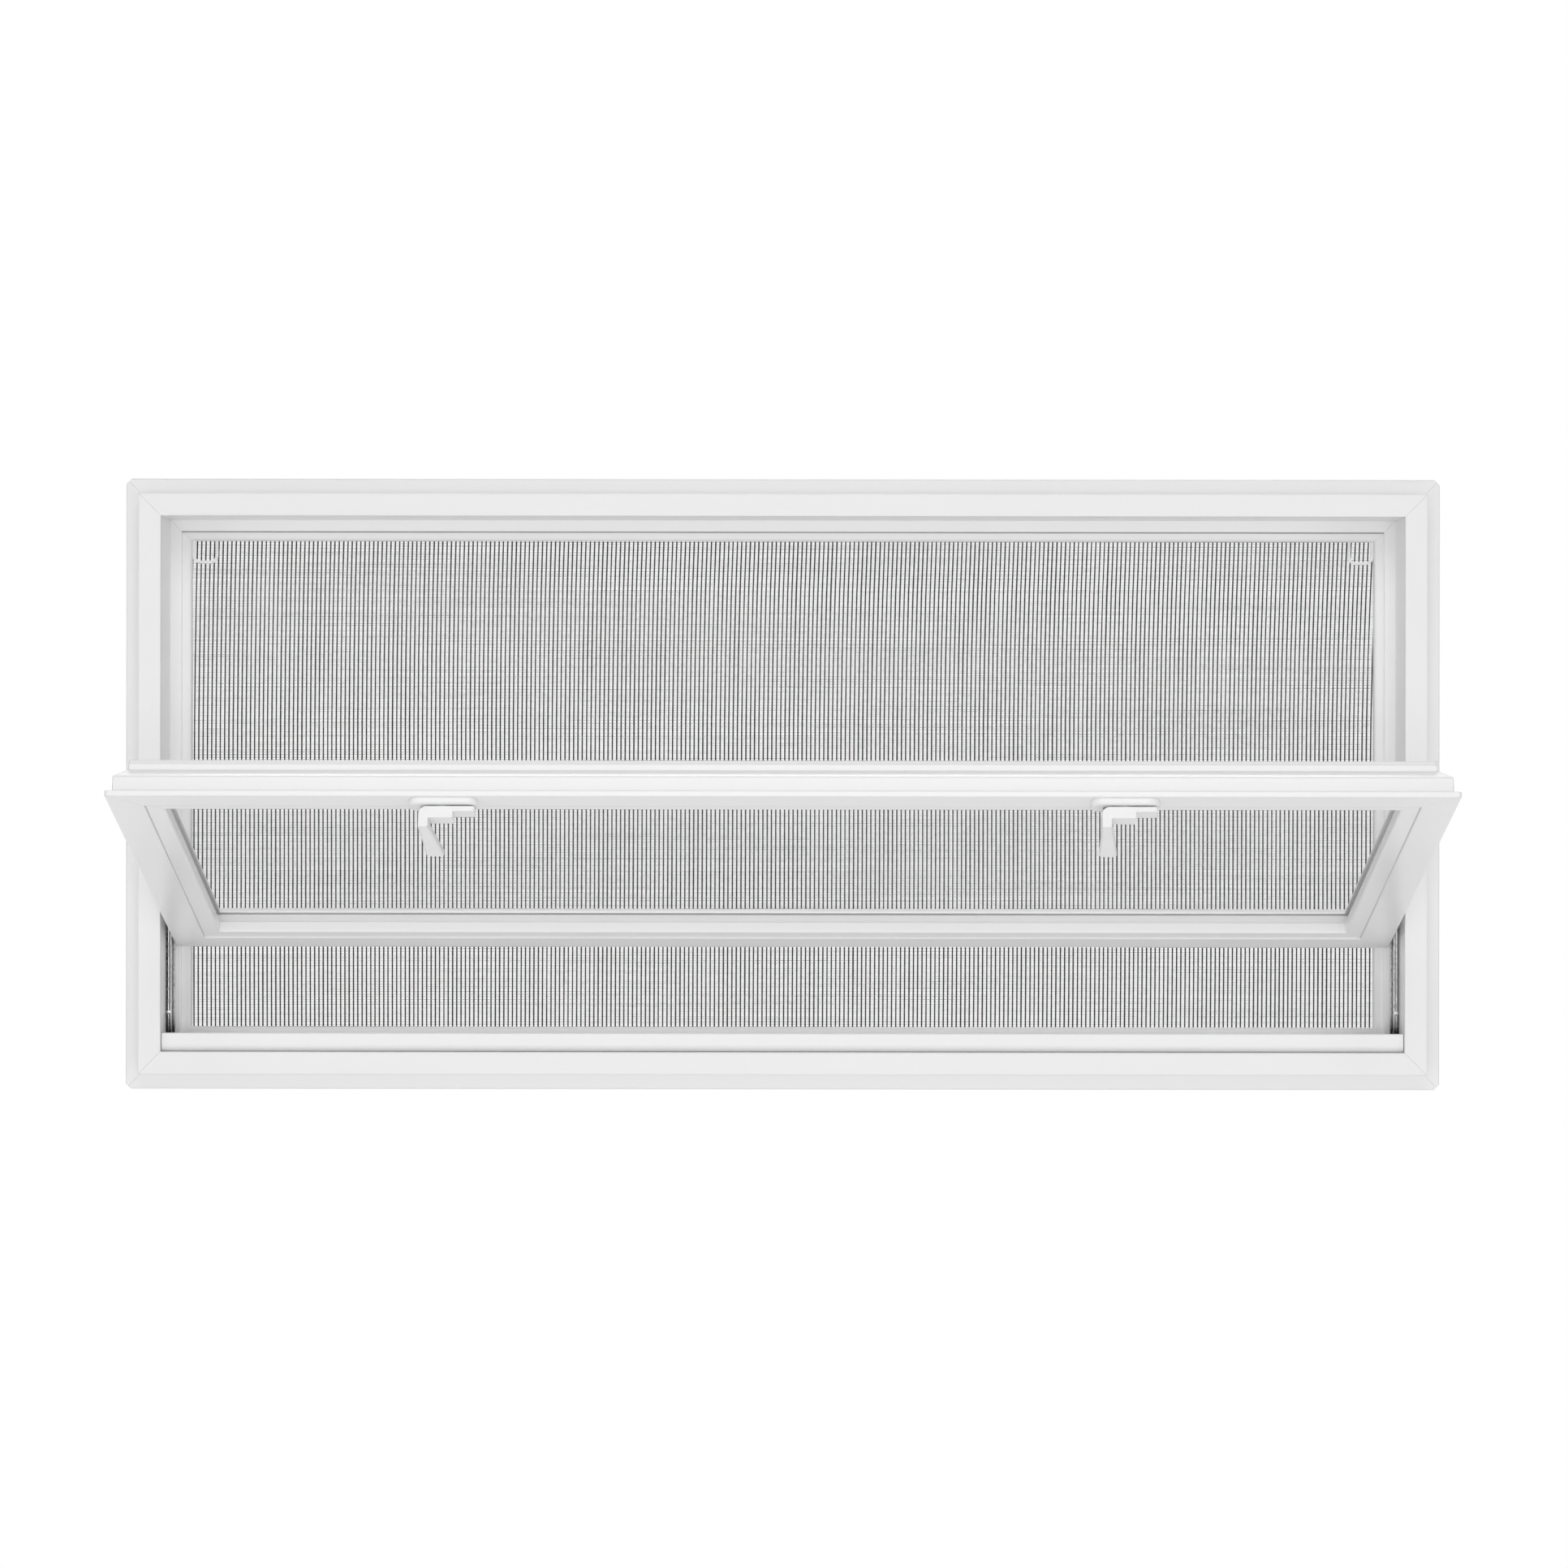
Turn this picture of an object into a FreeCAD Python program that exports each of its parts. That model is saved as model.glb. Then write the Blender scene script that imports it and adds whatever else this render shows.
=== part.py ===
"""Hopper window: mitred frame, insect screen, and a glazed sash tilted in on two stays.

Millimetres. X runs along the width and Z up. The room is on -Y. The origin is the middle
of the flat face under the sill.
"""
import FreeCAD
import Part
import math
import os

os.makedirs("parts", exist_ok=True)
V = FreeCAD.Vector

# Frame, as n (inward from the outer edge) and d (depth behind the room face)
WIDTH = 806.45
HEIGHT = 374.65
DEPTH = 78.0
SETBACK = 20.0
BAND = 10.2
FACE = 13.7
STOP_D = 43.5
STOP_STEP = 7.0
STOP_WALL = 3.0
CORNER_CLIP = 3.5
EDGE = 0.6
EXT_LEG = 29.0
EXT_SLOPE = 3.0
REVEAL = BAND + FACE
STOP_EDGE = REVEAL + STOP_STEP
OPEN_W = WIDTH - 2 * REVEAL
OPEN_H = HEIGHT - 2 * REVEAL
SEAT_MID = (SETBACK + DEPTH) / 2
SEAT_SPAN = DEPTH - SETBACK

# Weep slots through the outside face of the sill
WEEP_X = 250.0
WEEP_L = 30.0
WEEP_H = 5.0
WEEP_Z = 9.0
WEEP_DEEP = 14.0

# Sill stop, snapped in behind the room face between the jambs
SILL_STOP_D = 3.5
SILL_STOP_T = 5.5
SILL_STOP_H = 11.3
SILL_STOP_ROUND = 4.2
SILL_STOP_GAP = 0.3

# Insect screen behind the stop
SCREEN_BAR_W = 19.5
SCREEN_BAR_T = 8.0
SCREEN_SHOW = 5.7
SCREEN_ROUND = 2.2
SCREEN_PLAY = 1.0
MESH_T = 0.4
MESH_LAP = 8.0
MESH_ACROSS = 12
MESH_UP = 5
MESH_STRAND = 4.0
TAB_W = 16.1
TAB_H = 14.1
TAB_STRAND = 1.9
TAB_T = 0.9
TAB_ROUND = 5.0
TAB_FRONT = 4.5

# Sash, as n (inward from the flange edge) and v (depth behind its room face)
SASH_GAP = 5.0
SASH_DROP_GAP = 7.0
SASH_REAR_GAP = 5.5
SASH_T = 24.0
FLANGE_T = 3.0
FLANGE_HOOK = 0.8
FLANGE_LIP = 0.7
MID_N = 3.8
MID_END = 12.4
MID_ROUND = 1.8
REAR_N = 11.2
REAR_START = 18.5
SASH_LEG = 19.5
SIGHT = 30.0
SASH_CLIP = 1.2
BEAD_SUNK = 1.2
BEAD_BACK = 7.6
BEAD_ROUND = 1.2
LIP_T = 2.0
SEAL_W = 3.0
SEAL_DEEP = 2.0
SEAL_WALL = 1.0
SEAL_INSET = 0.3
SEAL_PROUD = 0.5
SEAL_ROUND = 0.9
SASH_W = OPEN_W - 2 * SASH_GAP
SASH_H = OPEN_H - SASH_GAP - SASH_DROP_GAP
SASH_FACE_D = STOP_D - SASH_REAR_GAP - SASH_T

# Insulating glass
PANE_T = 2.4
GLASS_SPACE = 4.6
GLASS_EDGE = 22.0
SPACER_EDGE = 22.6
SPACER_W = 5.4

# Friction stays: fixed pivot F, sash pivot P, shoe pivot S, with FP equal to PS
OPEN_DEG = 72.6
STAY_L = 48.4
PIVOT_U = 10.0
PIVOT_V = 20.0
PIN_D = 4.0
PIN_PLAY = 0.05
SHOULDER_D = 7.0
TRACK_W = 18.0
TRACK_H = 3.4
TRACK_T = 1.0
TRACK_LIP = 3.0
TRACK_LIP_T = 0.8
TRACK_ABOVE = 14.0
ARM_W = 8.0
ARM_T = 2.0
ARM_OFF = 4.4
ARM_PLAY = 0.2
HEAD_T = 0.9
SHOE_L = 22.0
SHOE_T = 1.3
SHOE_PLAY = 0.15
SHOE_NECK_W = 9.0
SASH_ARM_N = 5.5
SASH_ARM_T = 2.4
SASH_ARM_W = 7.6
SASH_ARM_L = 108.0
BOSS_D = 3.4
BOSS_V = 20.3
BOSS_U = (26.0, 80.0, 112.0)
PIN_END = 0.8

# Cam handles on the top rail, about a hub below the flange edge
HANDLE_X = 188.6
HUB_DOWN = 9.8
BASE_L = 38.2
BASE_SHIFT = 0.7
BASE_H = 15.6
BASE_T = 3.7
BASE_CORNER = 6.0
BASE_ROUND = 0.9
HUB_GAP = 0.8
HUB_LEFT = 12.6
HUB_RIGHT = 6.5
HUB_HALF = 5.5
HUB_OUT = 11.3
HUB_CORNER = 4.4
NOSE_END = 18.4
NOSE_OUT = 7.6
NOSE_CORNER = 1.4
LEG_W = 5.4
LEG_OUT = 16.4
LEVER_END_W = 10.2
LEVER_LEAN = 3.7
LEVER_REACH = 48.0
LEVER_FLARE = 3.2
LEVER_T = 3.6
LEVER_CORNER = 1.2
LEVER_ROUND = 0.8
SPINDLE_D = 8.0
SPINDLE_PLAY = 0.05
SPINDLE_END = 0.5
KEEPER_END = 3.5
KEEPER_PLAY = 1.3
KEEPER_DEEP = 6.0

HALF_W = WIDTH / 2
MID_Z = HEIGHT / 2
FRONT_Y = -SEAT_MID
SASH_Y = FRONT_Y + SASH_FACE_D
SASH_Z = REVEAL + SASH_DROP_GAP
S_Y = SASH_Y + PIVOT_V
S_Z = SASH_Z + PIVOT_U
F_Z = S_Z + 2 * STAY_L
RISE = 2 * STAY_L * (1 - math.cos(math.radians(OPEN_DEG)))
REVEAL_X = OPEN_W / 2
LIP_V = BEAD_BACK + 2 * PANE_T + GLASS_SPACE
SASH_X = SASH_W / 2
X_AXIS = V(1, 0, 0)
SIDES = {
    "top": (V(1, 0, 0), V(0, 0, -1)),
    "bottom": (V(1, 0, 0), V(0, 0, 1)),
    "left": (V(0, 0, 1), V(1, 0, 0)),
    "right": (V(0, 0, 1), V(-1, 0, 0)),
}


def save(name, shape):
    """Writes one node, merged and checked to be one valid solid."""
    shape = shape.removeSplitter()
    solids = shape.Solids
    if len(solids) != 1 or not solids[0].isValid():
        raise RuntimeError(name + " is not one valid solid")
    solids[0].exportStep("parts/" + name + ".step")


def outline(points, place):
    """Closed wire through (a, b) or (a, b, radius) points, rounded where a radius is given."""
    count = len(points)
    runs = []
    for i in range(count):
        here = V(points[i][0], points[i][1], 0)
        radius = points[i][2] if len(points[i]) > 2 else 0
        if not radius:
            runs.append((here, None, here))
            continue
        prev = V(points[i - 1][0], points[i - 1][1], 0)
        nxt = V(points[(i + 1) % count][0], points[(i + 1) % count][1], 0)
        to_prev = (prev - here).normalize()
        to_next = (nxt - here).normalize()
        half = to_prev.getAngle(to_next) / 2
        cut = radius / math.tan(half)
        middle = here + (to_prev + to_next).normalize() * (radius / math.sin(half) - radius)
        runs.append((here + to_prev * cut, middle, here + to_next * cut))
    edges = []
    for i in range(count):
        start, middle, end = runs[i]
        if middle is not None:
            edges.append(Part.Arc(place(start), place(middle), place(end)).toShape())
        following = runs[(i + 1) % count][0]
        if (following - end).Length > 1e-6:
            edges.append(Part.makeLine(place(end), place(following)))
    return Part.Wire(edges)


def slab(points, place, sweep):
    """Rounded outline as a face, swept along a vector."""
    return Part.Face(outline(points, place)).extrude(sweep)


def mitred(points, side, width, height, y_front, z_mid, clip=0.0):
    """Section of (n, depth) points run along one side of a rectangle and mitred at both ends."""
    along, inward = SIDES[side]
    length = width if side in ("top", "bottom") else height
    reach = height / 2 if side in ("top", "bottom") else width / 2
    edge = V(0, y_front, z_mid) - inward * reach
    deep = V(0, 1, 0)

    def section(p):
        return edge - along * (length / 2) + inward * p.x + deep * p.y

    bar = slab(points, section, along * length)
    inner = max(p[0] for p in points) + 1
    low = min(p[1] for p in points) - 1
    high = max(p[1] for p in points) + 1
    half = length / 2
    ends = [(half - clip, 0), (half - clip / 2, clip / 2), (half - inner, inner)]
    ends = ends if clip else [(half, 0), (half - inner, inner)]
    trapeze = [(-a, n) for a, n in ends] + list(reversed(ends))

    def plan(p):
        return edge + along * p.x + inward * p.y + deep * low

    return bar.common(slab(trapeze, plan, deep * (high - low)))


def cylinder_x(x_from, x_to, y, z, diameter):
    """Round bar between two X positions."""
    low = min(x_from, x_to)
    return Part.makeCylinder(diameter / 2, abs(x_to - x_from), V(low, y, z), X_AXIS)


def box(x_from, x_to, y_from, y_to, z_from, z_to):
    """Box between corner values, in either order in X."""
    low = min(x_from, x_to)
    return Part.makeBox(abs(x_to - x_from), y_to - y_from, z_to - z_from, V(low, y_from, z_from))


def open_pose(shape):
    """Moves a closed sash piece to the tilted-in rest pose."""
    moved = shape.copy()
    moved.rotate(V(0, S_Y, S_Z), X_AXIS, OPEN_DEG)
    moved.translate(V(0, 0, RISE))
    return moved


def frame_section():
    """Extrusion of the four frame members."""
    channel_d = STOP_D + STOP_WALL
    channel_n = STOP_EDGE + SCREEN_SHOW - SCREEN_BAR_W
    channel_end = channel_d + SCREEN_BAR_T + SCREEN_PLAY
    return [
        (0, SETBACK + EDGE),
        (EDGE, SETBACK),
        (BAND, SETBACK),
        (BAND, 0, EDGE),
        (REVEAL, 0, EDGE),
        (REVEAL, STOP_D),
        (STOP_EDGE, STOP_D, EDGE),
        (STOP_EDGE, channel_d),
        (channel_n, channel_d),
        (channel_n, channel_end),
        (EXT_LEG, channel_end),
        (EXT_LEG - EXT_SLOPE, DEPTH, EDGE),
        (0, DEPTH, EDGE),
    ]


def frame_member(side):
    return mitred(frame_section(), side, WIDTH, HEIGHT, FRONT_Y, MID_Z, CORNER_CLIP)


def frame_head():
    """Head, with two slots in its reveal that take the cam noses."""
    head = frame_member("top")
    z = HEIGHT - REVEAL
    half = HUB_HALF + KEEPER_END
    y0 = SASH_Y - NOSE_OUT - KEEPER_PLAY
    y1 = SASH_Y - BASE_T - HUB_GAP + KEEPER_PLAY
    for x in (-HANDLE_X, HANDLE_X):
        head = head.cut(box(x - half, x + half, y0, y1, z - 1, z + KEEPER_DEEP))
    return head


def frame_sill():
    """Sill, with two weep slots in its outside face."""
    sill = frame_member("bottom")
    y = FRONT_Y + DEPTH
    for x in (-WEEP_X, WEEP_X):
        slot = box(x - WEEP_L / 2, x + WEEP_L / 2, y - WEEP_DEEP, y + 1, WEEP_Z, WEEP_Z + WEEP_H)
        ends = [e for e in slot.Edges if abs(e.tangentAt(0).y) > 0.9]
        sill = sill.cut(slot.makeFillet(WEEP_H / 2 - 0.1, ends))
    return sill


def sill_stop():
    """Upright strip cut square between the jambs, standing on the sill."""
    half = REVEAL_X - SILL_STOP_GAP
    y = FRONT_Y + SILL_STOP_D
    points = [
        (y, REVEAL, SILL_STOP_ROUND),
        (y, REVEAL + SILL_STOP_H, EDGE),
        (y + SILL_STOP_T, REVEAL + SILL_STOP_H, EDGE),
        (y + SILL_STOP_T, REVEAL),
    ]
    return slab(points, lambda p: V(-half, p.x, p.y), V(2 * half, 0, 0))


def screen_bar(side):
    """Rolled screen bar with a rounded room face."""
    outer = STOP_EDGE + SCREEN_SHOW - SCREEN_BAR_W
    front = STOP_D + STOP_WALL
    points = [
        (0, 0),
        (SCREEN_BAR_W, 0, SCREEN_ROUND),
        (SCREEN_BAR_W, SCREEN_BAR_T, EDGE),
        (0, SCREEN_BAR_T),
    ]
    return mitred(points, side, WIDTH - 2 * outer, HEIGHT - 2 * outer, FRONT_Y + front, MID_Z)


def screen_mesh():
    """Mesh as one thin sheet lapped on the back of the screen bars, opened in a plain grid."""
    inner = STOP_EDGE + SCREEN_SHOW
    edge = inner - MESH_LAP
    y = FRONT_Y + STOP_D + STOP_WALL + SCREEN_BAR_T
    sheet = box(-HALF_W + edge, HALF_W - edge, y, y + MESH_T, edge, HEIGHT - edge)
    across = (WIDTH - 2 * inner + MESH_STRAND) / MESH_ACROSS
    up = (HEIGHT - 2 * inner + MESH_STRAND) / MESH_UP
    holes = []
    for i in range(MESH_ACROSS):
        x = -HALF_W + inner + i * across
        for j in range(MESH_UP):
            z = inner + j * up
            holes.append(box(x, x + across - MESH_STRAND, y - 1, y + MESH_T + 1, z, z + up - MESH_STRAND))
    return sheet.cut(holes)


def pull_tab(side):
    """Thin loop that hangs under the top screen bar in the corner."""
    inner = STOP_EDGE + SCREEN_SHOW
    x = HALF_W - inner
    z = HEIGHT - inner
    y = FRONT_Y + STOP_D + STOP_WALL + TAB_FRONT
    outer = [(x - TAB_W, z), (x - TAB_W, z - TAB_H, TAB_ROUND), (x, z - TAB_H, TAB_ROUND), (x, z)]
    s = TAB_STRAND
    r = TAB_ROUND - s
    hole = [(x - TAB_W + s, z + 1), (x - TAB_W + s, z - TAB_H + s, r), (x - s, z - TAB_H + s, r)]
    hole.append((x - s, z + 1))

    def place(p):
        return V(side * p.x, y, p.y)

    loop = slab(outer, place, V(0, TAB_T, 0))
    return loop.cut(slab(hole, place, V(0, TAB_T, 0)))


def track(side):
    """Lipped channel on the jamb, with the fixed pivot F riveted in it."""
    wall = side * REVEAL_X
    y0 = S_Y - TRACK_W / 2
    y1 = S_Y + TRACK_W / 2
    z0 = REVEAL
    z1 = F_Z + TRACK_ABOVE
    rail = box(wall, wall - side * TRACK_H, y0, y1, z0, z1)
    low = wall - side * TRACK_T
    lip = wall - side * (TRACK_H - TRACK_LIP_T)
    rail = rail.cut(box(low, lip, y0 + TRACK_T, y1 - TRACK_T, z0, z1))
    top = wall - side * (TRACK_H + 1)
    slot_y0 = y0 + TRACK_T + TRACK_LIP
    slot_y1 = y1 - TRACK_T - TRACK_LIP
    rail = rail.cut(box(lip, top, slot_y0, slot_y1, z0, z1))
    foot = wall - side * TRACK_T / 2
    arm_in = wall - side * ARM_OFF
    arm_out = wall - side * (ARM_OFF + ARM_T)
    boss = cylinder_x(foot, arm_in + side * ARM_PLAY, S_Y, F_Z, SHOULDER_D)
    head_in = arm_out - side * ARM_PLAY
    pin = cylinder_x(foot, head_in - side * HEAD_T, S_Y, F_Z, PIN_D)
    head = cylinder_x(head_in, head_in - side * HEAD_T, S_Y, F_Z, SHOULDER_D)
    return rail.fuse([boss, pin, head])


def flat_link(x_from, x_to, y, z_from, z_to, width):
    """Flat bar with round ends between two pin centres."""
    bar = box(x_from, x_to, y - width / 2, y + width / 2, z_from, z_to)
    ends = [cylinder_x(x_from, x_to, y, z, width) for z in (z_from, z_to)]
    return bar.fuse(ends)


def sash_arm_x(side):
    """X of the two faces of the bar on the sash."""
    near = side * (SASH_X - SASH_ARM_N)
    return near, near - side * SASH_ARM_T


def stay_arm(side):
    """Short arm from F to P, closed upright, with the sash pin P on it."""
    x0 = side * (REVEAL_X - ARM_OFF)
    x1 = x0 - side * ARM_T
    p_z = S_Z + STAY_L
    arm = flat_link(x0, x1, S_Y, p_z, F_Z, ARM_W)
    arm = arm.cut(cylinder_x(x0 + side, x1 - side, S_Y, F_Z, PIN_D + 2 * PIN_PLAY))
    near, far = sash_arm_x(side)
    shoulder = cylinder_x(x1, near + side * ARM_PLAY, S_Y, p_z, SHOULDER_D)
    pin = cylinder_x(x1, far - side * PIN_END, S_Y, p_z, PIN_D)
    arm = arm.fuse([shoulder, pin])
    arm.rotate(V(0, S_Y, F_Z), X_AXIS, -OPEN_DEG)
    return arm


def shoe(side):
    """Slider in the track, with the shoe pin S on it."""
    wall = side * REVEAL_X
    x0 = wall - side * (TRACK_T + SHOE_PLAY)
    x1 = x0 - side * SHOE_T
    half = TRACK_W / 2 - TRACK_T - SHOE_PLAY
    z0 = S_Z - SHOE_L / 2
    z1 = S_Z + SHOE_L / 2
    plate = box(x0, x1, S_Y - half, S_Y + half, z0, z1)
    neck_x = wall - side * (TRACK_H + SHOE_PLAY)
    neck = box(x1, neck_x, S_Y - SHOE_NECK_W / 2, S_Y + SHOE_NECK_W / 2, z0, z1)
    near, far = sash_arm_x(side)
    shoulder = cylinder_x(neck_x, near + side * ARM_PLAY, S_Y, S_Z, SHOULDER_D)
    pin = cylinder_x(neck_x, far - side * PIN_END, S_Y, S_Z, PIN_D)
    slider = plate.fuse([neck, shoulder, pin])
    slider.translate(V(0, 0, RISE))
    return slider


def sash_arm(side):
    """Flat bar on the stile, held off it by screw bosses and bored for the pins P and S."""
    near, far = sash_arm_x(side)
    bar = flat_link(near, far, S_Y, S_Z, S_Z + SASH_ARM_L, SASH_ARM_W)
    seat = side * (SASH_X - REAR_N)
    boss_y = SASH_Y + BOSS_V
    bar = bar.fuse([cylinder_x(near, seat, boss_y, SASH_Z + u, BOSS_D) for u in BOSS_U])
    bore = PIN_D + 2 * PIN_PLAY
    for z in (S_Z, S_Z + STAY_L):
        bar = bar.cut(cylinder_x(near + side, far - side, S_Y, z, bore))
    return open_pose(bar)


def sash_section():
    """Extrusion of the four sash members: flange, middle, cove, glazing lip and rear."""
    seal_end = REAR_N + SEAL_INSET + SEAL_W
    ledge = SASH_T - SEAL_DEEP
    return [
        (0, 0, EDGE),
        (SASH_LEG, 0),
        (SASH_LEG, LIP_V),
        (SIGHT, LIP_V),
        (SIGHT, LIP_V + LIP_T, EDGE),
        (seal_end + SEAL_WALL, LIP_V + LIP_T),
        (seal_end + SEAL_WALL, SASH_T),
        (seal_end, SASH_T),
        (seal_end, ledge),
        (REAR_N, ledge),
        (REAR_N, REAR_START),
        (MID_N, MID_END, MID_ROUND),
        (MID_N, FLANGE_T - FLANGE_LIP),
        (FLANGE_HOOK + FLANGE_LIP, FLANGE_T - FLANGE_LIP),
        (FLANGE_HOOK, FLANGE_T),
        (0, FLANGE_T),
    ]


def sash_member(side):
    z_mid = SASH_Z + SASH_H / 2
    return open_pose(mitred(sash_section(), side, SASH_W, SASH_H, SASH_Y, z_mid, SASH_CLIP))


def glazing_bead(side):
    """Snap-in bead between the sash leg and the glass."""
    points = [
        (SASH_LEG, BEAD_SUNK, EDGE),
        (SIGHT, BEAD_SUNK, BEAD_ROUND),
        (SIGHT, BEAD_BACK),
        (SASH_LEG, BEAD_BACK),
    ]
    return open_pose(mitred(points, side, SASH_W, SASH_H, SASH_Y, SASH_Z + SASH_H / 2))


def sash_seal(side):
    """Soft strip let into the rear edge of the sash, facing the frame's stop."""
    start = REAR_N + SEAL_INSET
    ledge = SASH_T - SEAL_DEEP
    points = [
        (start, ledge),
        (start + SEAL_W, ledge),
        (start + SEAL_W, SASH_T + SEAL_PROUD, SEAL_ROUND),
        (start, SASH_T + SEAL_PROUD, SEAL_ROUND),
    ]
    return open_pose(mitred(points, side, SASH_W, SASH_H, SASH_Y, SASH_Z + SASH_H / 2))


def pane(v_front):
    """Glass sheet with its room face at a depth in the sash."""
    half = SASH_X - GLASS_EDGE
    y = SASH_Y + v_front
    return open_pose(box(-half, half, y, y + PANE_T, SASH_Z + GLASS_EDGE, SASH_Z + SASH_H - GLASS_EDGE))


def glass_spacer():
    """Closed bar between the panes near their edges."""
    half = SASH_X - SPACER_EDGE
    y = SASH_Y + BEAD_BACK + PANE_T
    z0 = SASH_Z + SPACER_EDGE
    z1 = SASH_Z + SASH_H - SPACER_EDGE
    ring = box(-half, half, y, y + GLASS_SPACE, z0, z1)
    w = SPACER_W
    return open_pose(ring.cut(box(-half + w, half - w, y - 1, y + GLASS_SPACE + 1, z0 + w, z1 - w)))


def handle_place(x_mid, out):
    """Placement of (x, up from the hub) points at a stand-off in front of the closed sash."""
    hub_z = SASH_Z + SASH_H - HUB_DOWN
    return lambda p: V(x_mid + p.x, SASH_Y - out, hub_z + p.y)


def handle_base(x_mid):
    """Rounded plate under the cam, bored for its spindle."""
    a = BASE_L / 2
    b = BASE_H / 2
    r = BASE_CORNER
    points = [(-a, -b, r), (a, -b, r), (a, b, r), (-a, b, r)]
    plate = slab(points, handle_place(x_mid + BASE_SHIFT, 0), V(0, -BASE_T, 0))
    rim = [e for e in plate.Edges if abs(e.BoundBox.YMax - (SASH_Y - BASE_T)) < 1e-4]
    plate = plate.makeChamfer(BASE_ROUND, rim)
    hub_z = SASH_Z + SASH_H - HUB_DOWN
    bore = SPINDLE_D / 2 + SPINDLE_PLAY
    return open_pose(plate.cut(Part.makeCylinder(bore, BASE_T + 2, V(x_mid, SASH_Y + 1, hub_z), V(0, -1, 0))))


def handle_lever(x_mid):
    """Cam: stepped hub and nose with a bent leg, and a flared blade hung from the leg."""
    foot = BASE_T + HUB_GAP
    hub_z = SASH_Z + SASH_H - HUB_DOWN
    leg = LEG_W - HUB_LEFT
    step = [
        (-HUB_LEFT, foot, HUB_CORNER),
        (NOSE_END, foot),
        (NOSE_END, NOSE_OUT),
        (HUB_RIGHT, NOSE_OUT),
        (HUB_RIGHT, HUB_OUT, EDGE),
        (leg, HUB_OUT),
        (leg, LEG_OUT),
        (-HUB_LEFT, LEG_OUT),
    ]

    def across(p):
        return V(x_mid + p.x, SASH_Y - p.y, hub_z - HUB_HALF)

    body = slab(step, across, V(0, 0, 2 * HUB_HALF))
    tip = [e for e in body.Edges if e.BoundBox.XMin > x_mid + NOSE_END - 1e-3 and e.BoundBox.YLength > 1]
    body = body.makeFillet(NOSE_CORNER, tip)
    end = HUB_HALF - LEVER_REACH
    mid_end = -HUB_LEFT + LEG_W / 2 + LEVER_LEAN
    r = LEVER_CORNER
    plan = [
        (-HUB_LEFT, HUB_HALF),
        (mid_end - LEVER_END_W / 2, end, r),
        (mid_end + LEVER_END_W / 2, end, r),
        (leg, HUB_HALF),
    ]
    flare = math.degrees(math.atan2(LEVER_FLARE, LEVER_REACH))
    blade = slab(plan, handle_place(x_mid, LEG_OUT - LEVER_T), V(0, -LEVER_T, 0))
    rim = [e for e in blade.Edges if abs(e.BoundBox.YMax - (SASH_Y - LEG_OUT)) < 1e-4]
    rim = [e for e in rim if e.BoundBox.ZMin < hub_z + HUB_HALF - 1e-3]
    blade = blade.makeChamfer(LEVER_ROUND, rim)
    blade.rotate(V(0, SASH_Y - LEG_OUT, hub_z + HUB_HALF), X_AXIS, -flare)
    length = foot - SPINDLE_END + 1
    spindle = Part.makeCylinder(SPINDLE_D / 2, length, V(x_mid, SASH_Y - SPINDLE_END, hub_z), V(0, -1, 0))
    return open_pose(body.fuse([blade, spindle]))


save("frame_head", frame_head())
save("frame_sill", frame_sill())
save("left_jamb", frame_member("left"))
save("right_jamb", frame_member("right"))
save("sill_stop", sill_stop())
for edge_name in SIDES:
    save("screen_" + edge_name + "_bar", screen_bar(edge_name))
    kind = "_rail" if edge_name in ("top", "bottom") else "_stile"
    save("sash_" + edge_name + kind, sash_member(edge_name))
    save(edge_name + "_glazing_bead", glazing_bead(edge_name))
    save(edge_name + "_sash_seal", sash_seal(edge_name))
save("screen_mesh", screen_mesh())
save("inner_pane", pane(BEAD_BACK))
save("outer_pane", pane(BEAD_BACK + PANE_T + GLASS_SPACE))
save("glass_spacer", glass_spacer())
for hand, sign in (("left", -1), ("right", 1)):
    save(hand + "_pull_tab", pull_tab(sign))
    save(hand + "_track", track(sign))
    save(hand + "_stay_arm", stay_arm(sign))
    save(hand + "_shoe", shoe(sign))
    save(hand + "_sash_arm", sash_arm(sign))
    save(hand + "_handle_base", handle_base(sign * HANDLE_X))
    save(hand + "_handle_lever", handle_lever(sign * HANDLE_X))
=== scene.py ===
"""Looks for the hopper window: white vinyl frame and sash, woven screen, clear glass, steel stays."""
import math

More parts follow.
